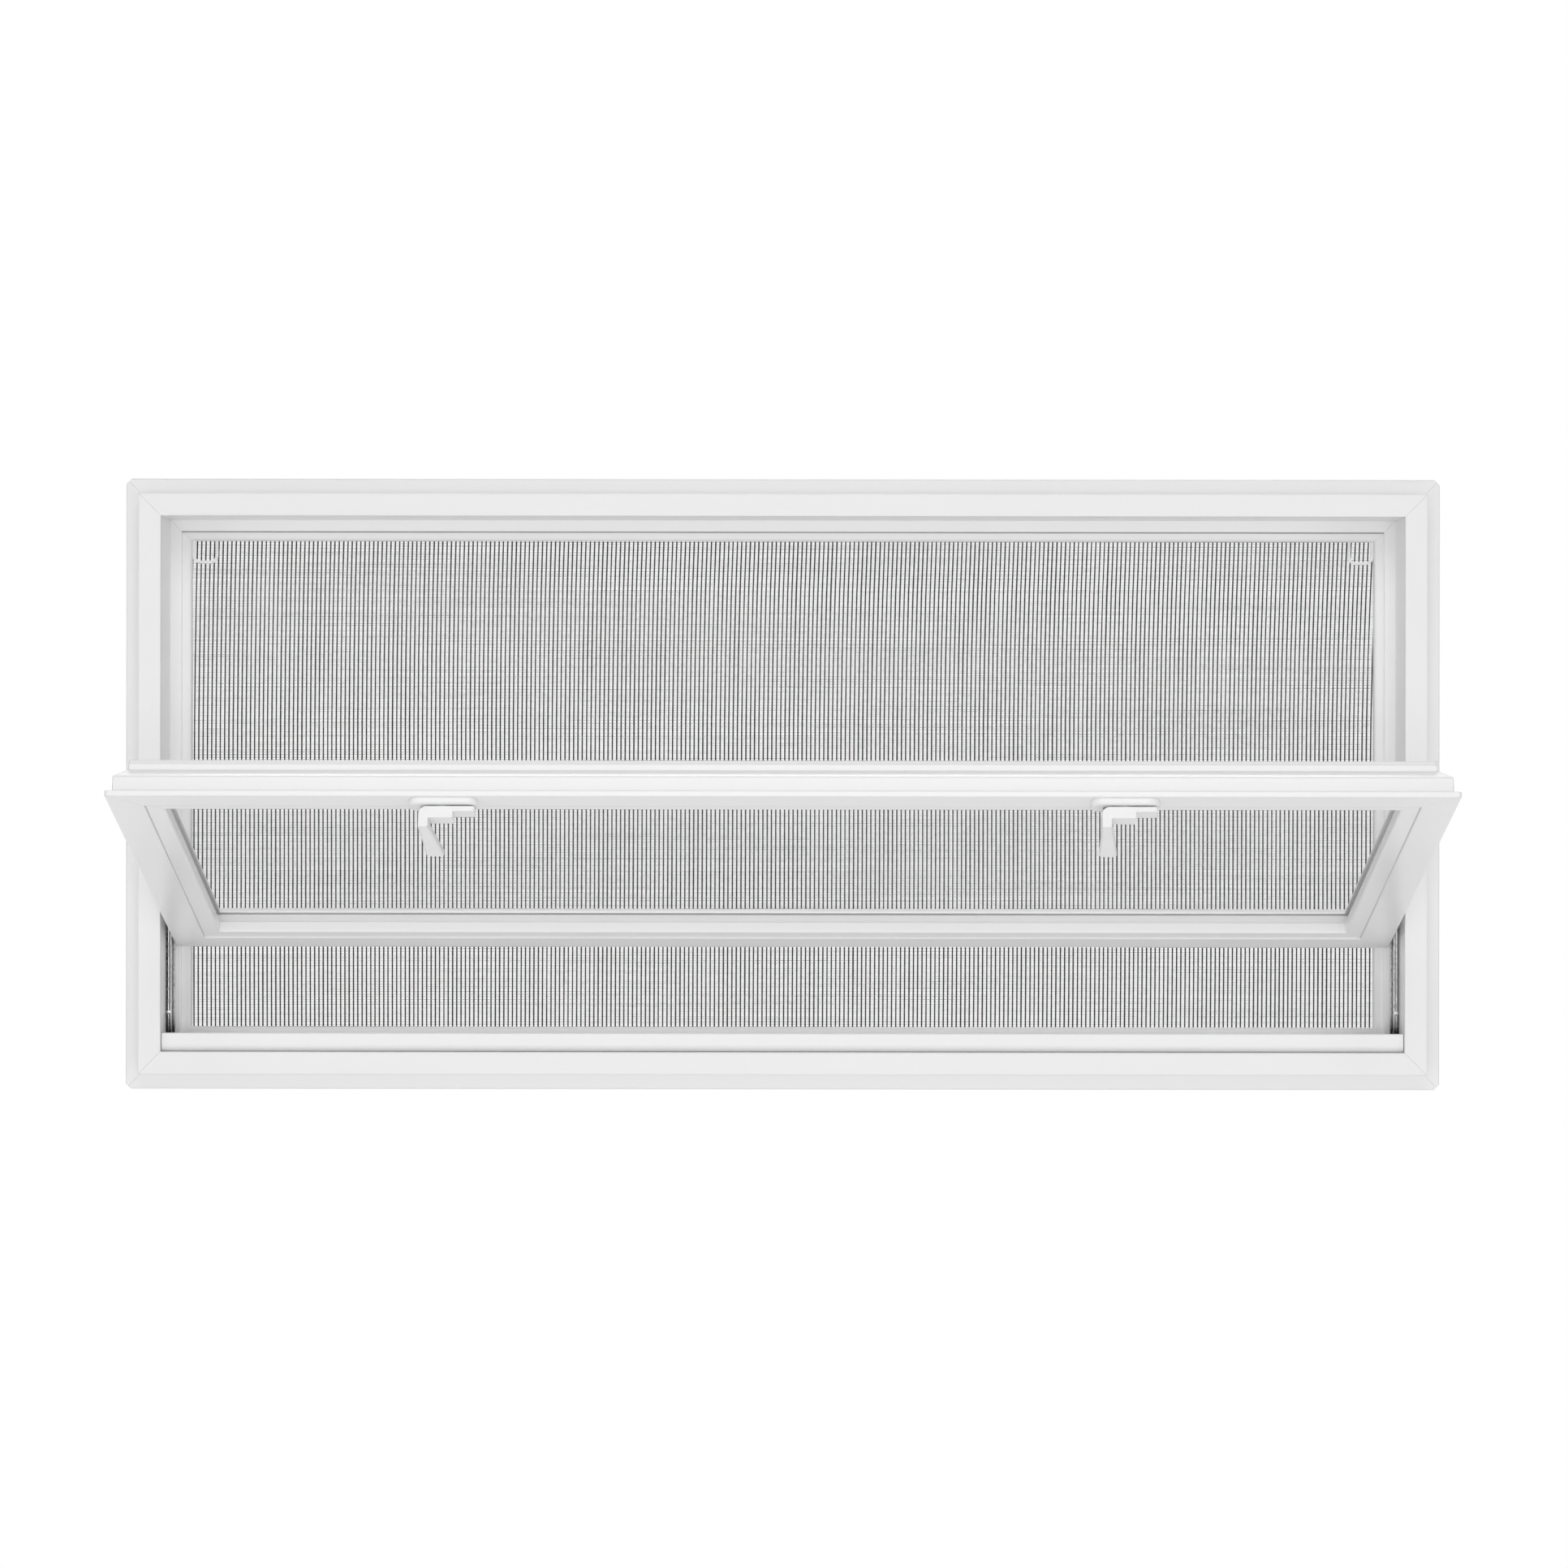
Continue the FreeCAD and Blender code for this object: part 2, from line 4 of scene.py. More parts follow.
import bpy
import numpy as np
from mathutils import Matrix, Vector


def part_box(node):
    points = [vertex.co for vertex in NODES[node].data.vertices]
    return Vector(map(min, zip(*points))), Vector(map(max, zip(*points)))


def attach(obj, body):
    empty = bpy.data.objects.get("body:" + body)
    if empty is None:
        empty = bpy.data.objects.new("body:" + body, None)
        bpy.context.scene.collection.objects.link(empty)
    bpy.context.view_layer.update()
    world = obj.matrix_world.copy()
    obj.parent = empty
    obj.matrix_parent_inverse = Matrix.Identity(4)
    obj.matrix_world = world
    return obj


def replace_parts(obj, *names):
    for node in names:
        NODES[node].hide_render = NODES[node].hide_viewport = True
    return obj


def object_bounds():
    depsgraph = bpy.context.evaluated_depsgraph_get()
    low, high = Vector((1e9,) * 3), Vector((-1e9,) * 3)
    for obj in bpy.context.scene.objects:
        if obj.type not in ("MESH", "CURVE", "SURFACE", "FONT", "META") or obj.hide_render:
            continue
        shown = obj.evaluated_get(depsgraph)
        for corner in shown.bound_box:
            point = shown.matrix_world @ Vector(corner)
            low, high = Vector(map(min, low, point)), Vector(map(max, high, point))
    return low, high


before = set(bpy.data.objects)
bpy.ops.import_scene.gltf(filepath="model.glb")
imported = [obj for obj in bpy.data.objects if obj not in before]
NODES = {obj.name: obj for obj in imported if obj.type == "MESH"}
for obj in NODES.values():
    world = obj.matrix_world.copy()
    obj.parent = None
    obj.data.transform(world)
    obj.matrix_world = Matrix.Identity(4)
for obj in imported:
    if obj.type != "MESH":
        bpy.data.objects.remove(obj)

MM = 0.001
CAD_LOW, CAD_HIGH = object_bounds()
OPEN_TURN = math.radians(72.6)
RNG = np.random.default_rng(14)

# Frame and screen, in millimetres, from the CAD
FRAME_HALF_X = round(CAD_HIGH[0] / MM, 3)
FRAME_HIGH = round(CAD_HIGH[2] / MM, 3)
MESH_LOW, MESH_HIGH = np.round(np.array(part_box("screen_mesh")) / MM, 3)

# Screen cloth and its spline, in millimetres; uneven is a share of a yarn's width
WARP_PITCH = 2.68
WARP_START = 0.5
WARP_WIDE = 0.90
WARP_UNEVEN = 0.06
WARP_STRAY = 0.03
WARP_DEEP = 0.22
FILL_WIDE = 0.06
WEFT_PITCH = 1.02
WEFT_START = 0.3
WEFT_WIDE = 0.20
WEFT_UNEVEN = 0.22
WEFT_UNEVEN_ENDS = (0.3, 1.9)
WEFT_STRAY = 0.07
WEFT_DEEP = 0.14
WEFT_LIFT = 0.09
WEFT_DRIFT = 1.7
CLOTH_INSET = 0.025
CLOTH_HALF_X = MESH_HIGH[0] - CLOTH_INSET
CLOTH_Y = (MESH_LOW[1] + MESH_HIGH[1]) / 2
CLOTH_LOW = MESH_LOW[2]
CLOTH_HIGH = MESH_HIGH[2]
HEAVY_SHADE = 0.0
FINE_SHADE = 0.6
LEVEL_SHADE = 1.0
BOW_LOW = 185.0
BOW_SLOPE = 0.036
BOW_GAIN = 0.0045
TILT_SLOPE = 0.0015
TILT_GAIN = 0.0035
SPLINE_N = 31.6
SPLINE_R = 1.5
SPLINE_BEND = 3.5
SPLINE_BEHIND = 0.9
SPLINE_FLAT = 0.8

# Stay pins, screws and rivets, in millimetres; on the closed sash, v is behind its room face and u above
# its lower edge
PIN_X = 365.625
PIN_Y = -15.0
PIN_CLOSED_Z = 40.9
PIN_RISE = 67.853
PIN_Z = PIN_CLOSED_Z + PIN_RISE
PIN_V = 20.0
PIN_U = 10.0
STAY_PIN_Y = -61.185
STAY_PIN_Z = 123.226
ARM_X = 366.425
ARM_V = 20.3
ARM_SCREW_U = (26.0, 80.0, 112.0)
HANDLE_X = 188.6
BASE_V = -3.7
BASE_U = 305.05
BASE_SCREW_X = (-9.4, 12.0)
RIVET_X = 377.6
RIVET_Y = -24.0
RIVET_Z = 47.0

# Radius and rise of each kind of head, in millimetres
PIN_HEAD = (2.9, 0.9)
BASE_HEAD = (2.6, 0.45)
RIVET_HEAD = (1.4, 0.6)

# Spans over which a finish changes, in metres
RECESS_IN = (0.0228, 0.0236)
RECESS_Y = (-0.048, -0.040)
# Height of the painted shadow line on the top screen bar
SHADOW_LINE_Z = (0.34300, 0.34335)
TRACK_ACROSS = (0.3752, 0.3794)
TRACK_FAR_Y = (-0.0125, -0.0095)
TRACK_FOOT_Z = (0.044, 0.054)


class Tone:
    """A shader socket in Python sums: each operator adds one Math node, and node() adds any other kind."""

    def __init__(self, tree, socket=None):
        self.tree = tree
        self.socket = socket

    def node(self, kind, sockets=None, out=0, stops=(), **settings):
        """One node of a kind: its settings and ramp stops are set first, then each socket's value or link."""
        made = self.tree.nodes.new("ShaderNode" + kind)
        for key, value in settings.items():
            setattr(made, key, value)
        for place, (at, colour) in enumerate(stops):
            ramp = made.color_ramp.elements
            stop = ramp[place] if place < len(ramp) else ramp.new(at)
            stop.position = at
            stop.color = colour
        for key, value in (sockets or {}).items():
            if isinstance(value, Tone):
                self.tree.links.new(value.socket, made.inputs[key])
            else:
                made.inputs[key].default_value = value
        return None if out is None else Tone(self.tree, made.outputs[out])

    def sum(self, operation, first, second):
        return self.node("Math", {0: first, 1: second}, operation=operation)

    def __add__(self, other):
        return self.sum("ADD", self, other)

    def __radd__(self, other):
        return self.sum("ADD", other, self)

    def __sub__(self, other):
        return self.sum("SUBTRACT", self, other)

    def __rsub__(self, other):
        return self.sum("SUBTRACT", other, self)

    def __mul__(self, other):
        return self.sum("MULTIPLY", self, other)

    def __rmul__(self, other):
        return self.sum("MULTIPLY", other, self)

    def __pow__(self, other):
        return self.sum("POWER", self, other)


def grey(level):
    """Linear colour of a grey level."""
    return (level, level, level, 1.0)


def new_finish(name):
    """An empty material and the start of its expressions."""
    made = bpy.data.materials.new(name)
    made.use_nodes = True
    made.node_tree.nodes.clear()
    return made, Tone(made.node_tree)


def surfaced(made, start, sockets):
    """Closes a material with one surface shader."""
    shader = start.node("BsdfPrincipled", sockets)
    start.node("OutputMaterial", {"Surface": shader}, out=None)
    return made


def along(start, place, axis):
    """One coordinate of a place."""
    return start.node("SeparateXYZ", {"Vector": place}, out=axis)


def between(start, value, span, first=0.0, last=1.0, kind="LINEAR"):
    """Runs from the first number to the last while a value crosses a span, and holds at both ends."""
    sockets = {"Value": value, 1: span[0], 2: span[1], 3: first, 4: last}
    return start.node("MapRange", sockets, interpolation_type=kind)


def in_place(start, turn=0.0):
    """Object coordinates in metres, turned about X into the closed sash's axes where a turn is given."""
    place = start.node("TexCoord", out="Object")
    if turn:
        place = start.node("Mapping", {"Vector": place, "Rotation": (turn, 0, 0)}, vector_type="POINT")
    return place


def noise(start, place, scale, detail=2.0, stretch=None):
    """Noise from 0 to 1 at a scale per metre, or at three scales along the axes."""
    if stretch:
        place = start.node("VectorMath", {0: place, 1: stretch}, operation="MULTIPLY")
    return start.node("TexNoise", {"Vector": place, "Scale": scale, "Detail": detail, "Roughness": 0.55})


def blend_colours(start, share, low, high):
    """Colour between two by a share from 0 to 1."""
    sockets = {"Factor": share, 6: low, 7: high}
    return start.node("Mix", sockets, out=2, data_type="RGBA")


def eased_normal(start, radius, height=None, strength=0.2, distance=0.0001):
    """Normal that rounds the edges of a solid, with a fine relief on it where a height is given."""
    rounded = start.node("Bevel", {"Radius": radius}, samples=6)
    if height is None:
        return rounded
    sockets = {"Height": height, "Normal": rounded, "Strength": strength, "Distance": distance}
    return start.node("Bump", sockets)


def vinyl(name, run, turn=0.0, tone=0.87, inner=0.0, rough=0.30):
    """Extruded vinyl: a cloudy white, draw lines along its run, and edges eased by the die. An inner tone
    paints the frame's recess whiter: painted light that lifts the shade in the recess."""
    made, start = new_finish(name)
    place = in_place(start, turn)
    cloud = noise(start, place, 16.0, 3.0)
    drawn = noise(start, place, 1.0, 2.0, run)
    grain = noise(start, place, 900.0, 2.0)
    share = 0.7 * cloud + 0.3 * drawn
    colour = blend_colours(start, share, grey(tone - 0.018), grey(tone + 0.018))
    # Painted light: in the frame's recess the colour blends to the whiter inner tone, lifting the recess's
    # shade.
    if inner:
        half_x, half_z = FRAME_HALF_X * MM, FRAME_HIGH / 2 * MM
        off_x = start.node("Math", {0: along(start, place, "X")}, operation="ABSOLUTE")
        off_z = start.node("Math", {0: along(start, place, "Z") - half_z}, operation="ABSOLUTE")
        from_side = start.node("Math", {0: half_x - off_x, 1: half_z - off_z}, operation="MINIMUM")
        recess = between(start, from_side, RECESS_IN)
        deep = between(start, along(start, place, "Y"), RECESS_Y)
        painted_fill_colour = blend_colours(start, share, grey(inner - 0.012), grey(inner + 0.012))
        colour = blend_colours(start, recess * deep, colour, painted_fill_colour)
    relief = 0.75 * drawn + 0.25 * grain
    shine = rough - 0.05 + 0.10 * (0.6 * cloud + 0.4 * grain)
    sockets = {
        "Base Color": colour,
        "Roughness": shine,
        "IOR": 1.5,
        "Normal": eased_normal(start, 0.0006, relief, 0.10, 0.00006),
    }
    return surfaced(made, start, sockets)


def coated_bar(name, run):
    """Rolled screen bar: baked white paint with a fine orange peel, and a painted shadow line where the top
    bar meets the frame's stop."""
    made, start = new_finish(name)
    place = in_place(start)
    peel = noise(start, place, 620.0, 3.0)
    cloud = noise(start, place, 22.0, 2.0)
    drawn = noise(start, place, 1.0, 1.0, run)
    paint = blend_colours(start, 0.6 * cloud + 0.4 * drawn, grey(0.91), grey(0.95))
    # Painted shadow: a dark line along the top bar's upper edge, where the frame's stop shades it.
    painted_shadow_line = between(start, along(start, place, "Z") + 0.0003 * cloud, SHADOW_LINE_Z, 0.0, 0.85)
    colour = blend_colours(start, painted_shadow_line, paint, grey(0.22))
    sockets = {
        "Base Color": colour,
        "Roughness": 0.34 + 0.12 * peel,
        "IOR": 1.48,
        "Normal": eased_normal(start, 0.0005, peel, 0.12, 0.00005),
    }
    return surfaced(made, start, sockets)


def moulded_cam(name, turn):
    """Moulded handle plastic: bright white, satin, with a fine spark texture and rounded rims."""
    made, start = new_finish(name)
    place = in_place(start, turn)
    spark = noise(start, place, 1400.0, 3.0)
    flow = noise(start, place, 60.0, 2.0)
    colour = blend_colours(start, flow, grey(0.85), grey(0.90))
    sockets = {
        "Base Color": colour,
        "Roughness": 0.26 + 0.14 * spark,
        "IOR": 1.5,
        "Normal": eased_normal(start, 0.0009, spark, 0.10, 0.00004),
    }
    return surfaced(made, start, sockets)


def soft_strip(name, turn):
    """Soft seal: matt white with a fine skin."""
    made, start = new_finish(name)
    place = in_place(start, turn)
    skin = noise(start, place, 1100.0, 3.0)
    cloud = noise(start, place, 30.0, 2.0)
    colour = blend_colours(start, 0.5 * cloud + 0.5 * skin, grey(0.80), grey(0.88))
    sockets = {
        "Base Color": colour,
        "Roughness": 0.55 + 0.2 * skin,
        "Normal": eased_normal(start, 0.0005, skin, 0.2, 0.00005),
    }
    return surfaced(made, start, sockets)


def clear_tab(name):
    """Pull tab: milky white nylon, a little see-through in its thin places."""
    made, start = new_finish(name)
    place = in_place(start)
    cloud = noise(start, place, 260.0, 2.0)
    colour = blend_colours(start, cloud, grey(0.90), grey(0.96))
    sockets = {
        "Base Color": colour,
        "Roughness": 0.22 + 0.1 * cloud,
        "Alpha": 0.96 + 0.06 * cloud,
        "Normal": eased_normal(start, 0.0003),
    }
    return surfaced(made, start, sockets)


def drawn_steel(name, stretch):
    """Stainless strip: rolling streaks along its run, dark and bright, with a fine brushed relief."""
    made, start = new_finish(name)
    place = in_place(start, -OPEN_TURN)
    low, high = 0.30, 0.66
    streak = noise(start, place, 1.0, 3.0, stretch)
    smear = noise(start, place, 130.0, 3.0)
    ramp = start.node(
        "ValToRGB",
        {"Fac": 0.75 * streak + 0.25 * smear},
        stops=((0.36, grey(low)), (0.50, grey(0.5 * (low + high))), (0.62, grey(high))),
    )
    sockets = {
        "Base Color": ramp,
        "Metallic": 1.0,
        "Roughness": 0.20 + 0.25 * smear,
        "Normal": eased_normal(start, 0.0004, streak, 0.15, 0.00008),
    }
    return surfaced(made, start, sockets)


def rolled_track(name, dark, mid):
    """Stay track: rolled stainless with painted reflection, long dark and bright lines by distance from the
    wall, a pale mottled non-metal far side that is painted light in the shaded channel, and a near-black
    foot."""
    made, start = new_finish(name)
    place = in_place(start)
    off_x = start.node("Math", {0: along(start, place, "X")}, operation="ABSOLUTE")
    across = between(start, off_x, TRACK_ACROSS)
    wander = noise(start, place, 1.0, 2.0, (260.0, 260.0, 14.0))
    mottle = noise(start, place, 420.0, 4.0)
    # Painted reflection: dark and bright bands by distance from the wall, standing in for what the steel
    # mirrors.
    ramp = start.node(
        "ValToRGB",
        {"Fac": across + 0.10 * wander - 0.05},
        stops=(
            (0.00, grey(0.62)),
            (0.24, grey(0.58)),
            (0.30, grey(mid)),
            (0.50, grey(mid)),
            (0.55, grey(0.75)),
            (0.60, grey(0.70)),
            (0.65, grey(dark)),
            (0.97, grey(dark)),
            (1.00, grey(0.30)),
        ),
    )
    # Near-black towards the foot of the track.
    foot = between(start, along(start, place, "Z") + 0.016 * mottle, TRACK_FOOT_Z, 0.95, 0.0)
    speck = between(start, mottle, (0.42, 0.60), 0.0, 0.55)
    # The painted reflection bands, with worn specks on them.
    worn = blend_colours(start, speck, ramp, grey(0.16))
    # Painted light: the far side of the channel turns pale and non-metal, lifting the channel's shade.
    far = between(start, along(start, place, "Y"), TRACK_FAR_Y)
    pale = blend_colours(start, speck, grey(0.93), grey(0.30))
    strip = blend_colours(start, far, worn, pale)
    sockets = {
        "Base Color": blend_colours(start, foot, strip, grey(0.012)),
        "Metallic": 1 - 0.95 * far,
        "Roughness": 0.24 + 0.22 * mottle,
        "Normal": eased_normal(start, 0.0003, wander, 0.15, 0.00008),
    }
    return surfaced(made, start, sockets)


def slider_plastic(name):
    """Shoe in the track: grey acetal with a worn, slightly waxy skin."""
    made, start = new_finish(name)
    place = in_place(start)
    wax = noise(start, place, 180.0, 3.0)
    colour = blend_colours(start, wax, grey(0.30), grey(0.42))
    sockets = {
        "Base Color": colour,
        "Roughness": 0.32 + 0.2 * wax,
        "Normal": eased_normal(start, 0.0005, wax, 0.1, 0.0001),
    }
    return surfaced(made, start, sockets)


def window_glass(name):
    """Clear coated glass: it bends what is seen through it, lets lamp light by, and its gloss grows as
    (1 - cos)^5 towards a glancing view."""
    made, start = new_finish(name)
    place = in_place(start, -OPEN_TURN)
    film = noise(start, place, 7.0, 2.0)
    bend = start.node("BsdfRefraction", {"Color": grey(0.99), "Roughness": 0.0, "IOR": 1.5})
    clear = start.node("BsdfTransparent", {"Color": grey(0.99)})
    shadow = start.node("LightPath", out="Is Shadow Ray")
    diffuse = start.node("LightPath", out="Is Diffuse Ray")
    lit = start.node("Math", {0: shadow, 1: diffuse}, operation="MAXIMUM")
    through = start.node("MixShader", {"Fac": lit, 1: bend, 2: clear})
    gloss = start.node("BsdfGlossy", {"Color": grey(1.0), "Roughness": 0.01 + 0.03 * film})
    glance = start.node("LayerWeight", {"Blend": 0.5}, out="Facing")
    share = 0.010 + 0.10 * glance**5
    shader = start.node("MixShader", {"Fac": share, 1: through, 2: gloss})
    start.node("OutputMaterial", {"Surface": shader}, out=None)
    return made


def spacer_bar(name):
    """Spacer between the panes: pale mill aluminium with rows of desiccant holes."""
    made, start = new_finish(name)
    place = in_place(start, -OPEN_TURN)
    rows = {"Vector": place, "Scale": 420.0, "Randomness": 0.0}
    holes = start.node("TexVoronoi", rows, out="Distance")
    pit = between(start, holes, (0.10, 0.24), kind="SMOOTHSTEP")
    mill = noise(start, place, 240.0, 3.0)
    colour = blend_colours(start, pit, grey(0.52), grey(0.88))
    sockets = {
        "Base Color": colour,
        "Metallic": 0.15,
        "Roughness": 0.38 + 0.2 * mill,
        "Normal": eased_normal(start, 0.0003, pit, 0.3, 0.0002),
    }
    return surfaced(made, start, sockets)


def coated_yarn(name):
    """Screen yarn: charcoal coat, dark on the heavy yarns and patchy on the level ones, by the piece's own
    shade attribute."""
    made, start = new_finish(name)
    place = in_place(start)
    shade = start.node("Attribute", out="Fac", attribute_name="shade")
    fleck = noise(start, place, 700.0, 2.0)
    patch = between(start, noise(start, place, 420.0, 1.0), (0.38, 0.62))
    level = blend_colours(start, patch, grey(0.012), grey(0.42))
    colour = blend_colours(start, shade, grey(0.014), level)
    lit = blend_colours(start, 0.25 * fleck, colour, grey(0.12))
    sockets = {
        "Base Color": lit,
        "Roughness": 0.5 + 0.2 * fleck,
        "Normal": start.node("Bump", {"Height": fleck, "Strength": 0.2, "Distance": 0.00004}),
    }
    return surfaced(made, start, sockets)


def rubber_cord(name):
    """Screen spline: matt black rubber with a fine moulded skin."""
    made, start = new_finish(name)
    place = in_place(start)
    skin = noise(start, place, 1300.0, 3.0)
    colour = blend_colours(start, skin, grey(0.02), grey(0.06))
    sockets = {
        "Base Color": colour,
        "Roughness": 0.55 + 0.25 * skin,
        "Normal": start.node("Bump", {"Height": skin, "Strength": 0.3, "Distance": 0.0001}),
    }
    return surfaced(made, start, sockets)


def fixing_steel(name, low, high):
    """Screw and rivet heads: turned steel with a cloudy plating."""
    made, start = new_finish(name)
    place = in_place(start)
    cloud = noise(start, place, 420.0, 3.0)
    colour = blend_colours(start, cloud, grey(low), grey(high))
    sockets = {
        "Base Color": colour,
        "Metallic": 1.0,
        "Roughness": 0.22 + 0.22 * cloud,
        "Normal": start.node("Bump", {"Height": cloud, "Strength": 0.1, "Distance": 0.0001}),
    }
    return surfaced(made, start, sockets)


def put(name, points, faces, finish, body, smooth=True):
    """A new piece from whole arrays: points in millimetres, faces of four, riding on a CAD body."""
    mesh = bpy.data.meshes.new(name)
    mesh.from_pydata((np.asarray(points).reshape(-1, 3) * MM).tolist(), [], np.asarray(faces).tolist())
    mesh.polygons.foreach_set("use_smooth", np.full(len(mesh.polygons), smooth))
    mesh.materials.append(finish)
    mesh.update()
    piece = bpy.data.objects.new(name, mesh)
    bpy.context.scene.collection.objects.link(piece)
    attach(piece, body)
    return piece


def sheet_faces(rows, columns, wrap_rows=False, wrap_columns=False):
    """Quads of a grid of points, rows by columns, joined round where an edge wraps."""
    r = np.arange(rows if wrap_rows else rows - 1)[:, None]
    c = np.arange(columns if wrap_columns else columns - 1)[None, :]
    right = (c + 1) % columns
    down = (r + 1) % rows
    quads = [r * columns + c, r * columns + right, down * columns + right, down * columns + c]
    return np.stack(np.broadcast_arrays(*quads), axis=-1).reshape(-1, 4)


def yarns(centres, run_axis, wide, deep, sides=6):
    """Tubes on many centrelines at once: at each step an ellipse, wide in the cloth's plane and deep across
    it, stands square to the run. centres is (yarn, step, 3); wide is one size, or one for each yarn and
    step."""
    count, steps, _ = centres.shape
    angle = 2 * np.pi * np.arange(sides) / sides
    across = np.broadcast_to(np.asarray(wide), (count, steps))[..., None] / 2 * np.cos(angle)
    out = np.broadcast_to(deep / 2 * np.sin(angle), across.shape)
    side_axis = 0 if run_axis == 2 else 2
    points = np.repeat(centres[:, :, None, :], sides, axis=2)
    points[..., side_axis] += across
    points[..., 1] += out
    tube = sheet_faces(steps, sides, wrap_columns=True)
    if run_axis == 2:
        tube = tube[:, ::-1]
    first = np.arange(count)[:, None, None] * steps * sides
    return points.reshape(-1, 3), (first + tube[None]).reshape(-1, 4)


def cloth_drift(x, z):
    """Slow sideways drift of the cloth, the sum of four plane waves with seeded phases, in millimetres."""
    waves = [(0.011, 0.006, 0.20), (0.004, 0.019, 0.16), (-0.017, 0.012, 0.12), (0.029, -0.008, 0.08)]
    phases = np.random.default_rng(5).uniform(0, 2 * np.pi, len(waves))
    return sum(a * np.sin(kx * x + kz * z + p) for (kx, kz, a), p in zip(waves, phases))


def cloth_bow(x, z):
    """Sideways pull of the upright yarns, in millimetres: a straight tilt, plus a bow that grows with the
    square of the height above mid-screen. Both grow from left to right."""
    right = x / CLOTH_HALF_X
    above = np.maximum(z - BOW_LOW, 0.0)
    tilt = (TILT_SLOPE + TILT_GAIN * right) * (z - BOW_LOW)
    return tilt + (BOW_SLOPE + BOW_GAIN * right) * above**2 / (2 * (CLOTH_HIGH - BOW_LOW))


def screen_cloth(finish):
    """Woven cloth: heavy upright yarns, a fine yarn between each pair, and thin uneven level yarns that pass
    before and behind them by turns. The uprights are pulled askew towards the top, and all drift together."""
    steps = 9
    z = np.linspace(CLOTH_LOW, CLOTH_HIGH, steps)[None, :]
    heavy_x = np.arange(-CLOTH_HALF_X + WARP_START, CLOTH_HALF_X, WARP_PITCH)[:, None]
    fine_x = heavy_x[:-1] + WARP_PITCH / 2
    level_z = np.arange(CLOTH_LOW + WEFT_START, CLOTH_HIGH, WEFT_PITCH)[:, None]

    def upright(x0):
        x = x0 + cloth_drift(x0, z) + cloth_bow(x0, z) + RNG.normal(0, WARP_STRAY, x0.shape)
        x = np.clip(x, -CLOTH_HALF_X, CLOTH_HALF_X)
        y = np.full_like(x, CLOTH_Y)
        return np.stack([x, y, np.broadcast_to(z, x.shape)], axis=-1)

    heavy_wide = WARP_WIDE * (1 + RNG.normal(0, WARP_UNEVEN, (len(heavy_x), steps)))
    x_run = np.linspace(-CLOTH_HALF_X, CLOTH_HALF_X, steps)[None, :]
    z_run = level_z + cloth_drift(level_z * WEFT_DRIFT, x_run) + RNG.normal(0, WEFT_STRAY, level_z.shape)
    y_run = CLOTH_Y + np.where(np.arange(len(level_z)) % 2, WEFT_LIFT, -WEFT_LIFT)[:, None]
    level = np.stack(np.broadcast_arrays(x_run, y_run, z_run), axis=-1)
    uneven = 1 + RNG.normal(0, WEFT_UNEVEN, (len(level_z), steps))
    level_wide = WEFT_WIDE * np.clip(uneven, *WEFT_UNEVEN_ENDS)
    parts = [
        (*yarns(upright(heavy_x), 2, heavy_wide, WARP_DEEP), HEAVY_SHADE),
        (*yarns(upright(fine_x), 2, FILL_WIDE, WEFT_DEEP), FINE_SHADE),
        (*yarns(level, 0, level_wide, WEFT_DEEP), LEVEL_SHADE),
    ]
    sizes = [len(p[0]) for p in parts]
    first = np.cumsum([0] + sizes[:-1])
    points = np.concatenate([p[0] for p in parts])
    faces = np.concatenate([p[1] + f for p, f in zip(parts, first)])
    piece = put("screen_cloth", points, faces, finish, "frame")
    shade = piece.data.attributes.new("shade", "FLOAT", "POINT")
    shade.data.foreach_set("value", np.repeat([p[2] for p in parts], sizes).astype(np.float32))
    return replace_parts(piece, "screen_mesh")


def corner_loop(half_x, low, high, bend, arc=6):
    """Points round an upright rectangle with rounded corners: each corner's centre plus a quarter circle."""
    side, top, bottom = half_x - bend, high - bend, low + bend
    turn = np.linspace(0, np.pi / 2, arc)[None, :] + np.arange(4)[:, None] * np.pi / 2
    x = np.array([side, -side, -side, side])[:, None] + bend * np.cos(turn)
    z = np.array([top, top, bottom, bottom])[:, None] + bend * np.sin(turn)
    return x.ravel(), z.ravel(), turn.ravel()


def screen_spline(finish):
    """Rubber cord pressed over the edge of the cloth: a flattened circle carried round the screen's rounded
    rectangle."""
    x, z, turn = corner_loop(FRAME_HALF_X - SPLINE_N, SPLINE_N, FRAME_HIGH - SPLINE_N, SPLINE_BEND)
    sides = 10
    angle = 2 * np.pi * np.arange(sides) / sides
    out = SPLINE_R * np.cos(angle)[None, :]
    y = CLOTH_Y + SPLINE_BEHIND + SPLINE_FLAT * SPLINE_R * np.sin(angle)
    points = np.stack(
        [
            x[:, None] + out * np.cos(turn)[:, None],
            np.broadcast_to(y, (len(x), sides)),
            z[:, None] + out * np.sin(turn)[:, None],
        ],
        axis=-1,
    )
    faces = sheet_faces(len(x), sides, wrap_rows=True, wrap_columns=True)
    return put("screen_spline", points, faces, finish, "frame")


def axes_on(normal):
    """Two directions square to a normal and to each other."""
    n = np.asarray(normal, float)
    side = np.cross(n, (0.0, 0.37, 1.0)) if abs(n[2]) < 0.9 else np.cross(n, (1.0, 0.0, 0.0))
    side /= np.linalg.norm(side)
    return side, np.cross(n, side)


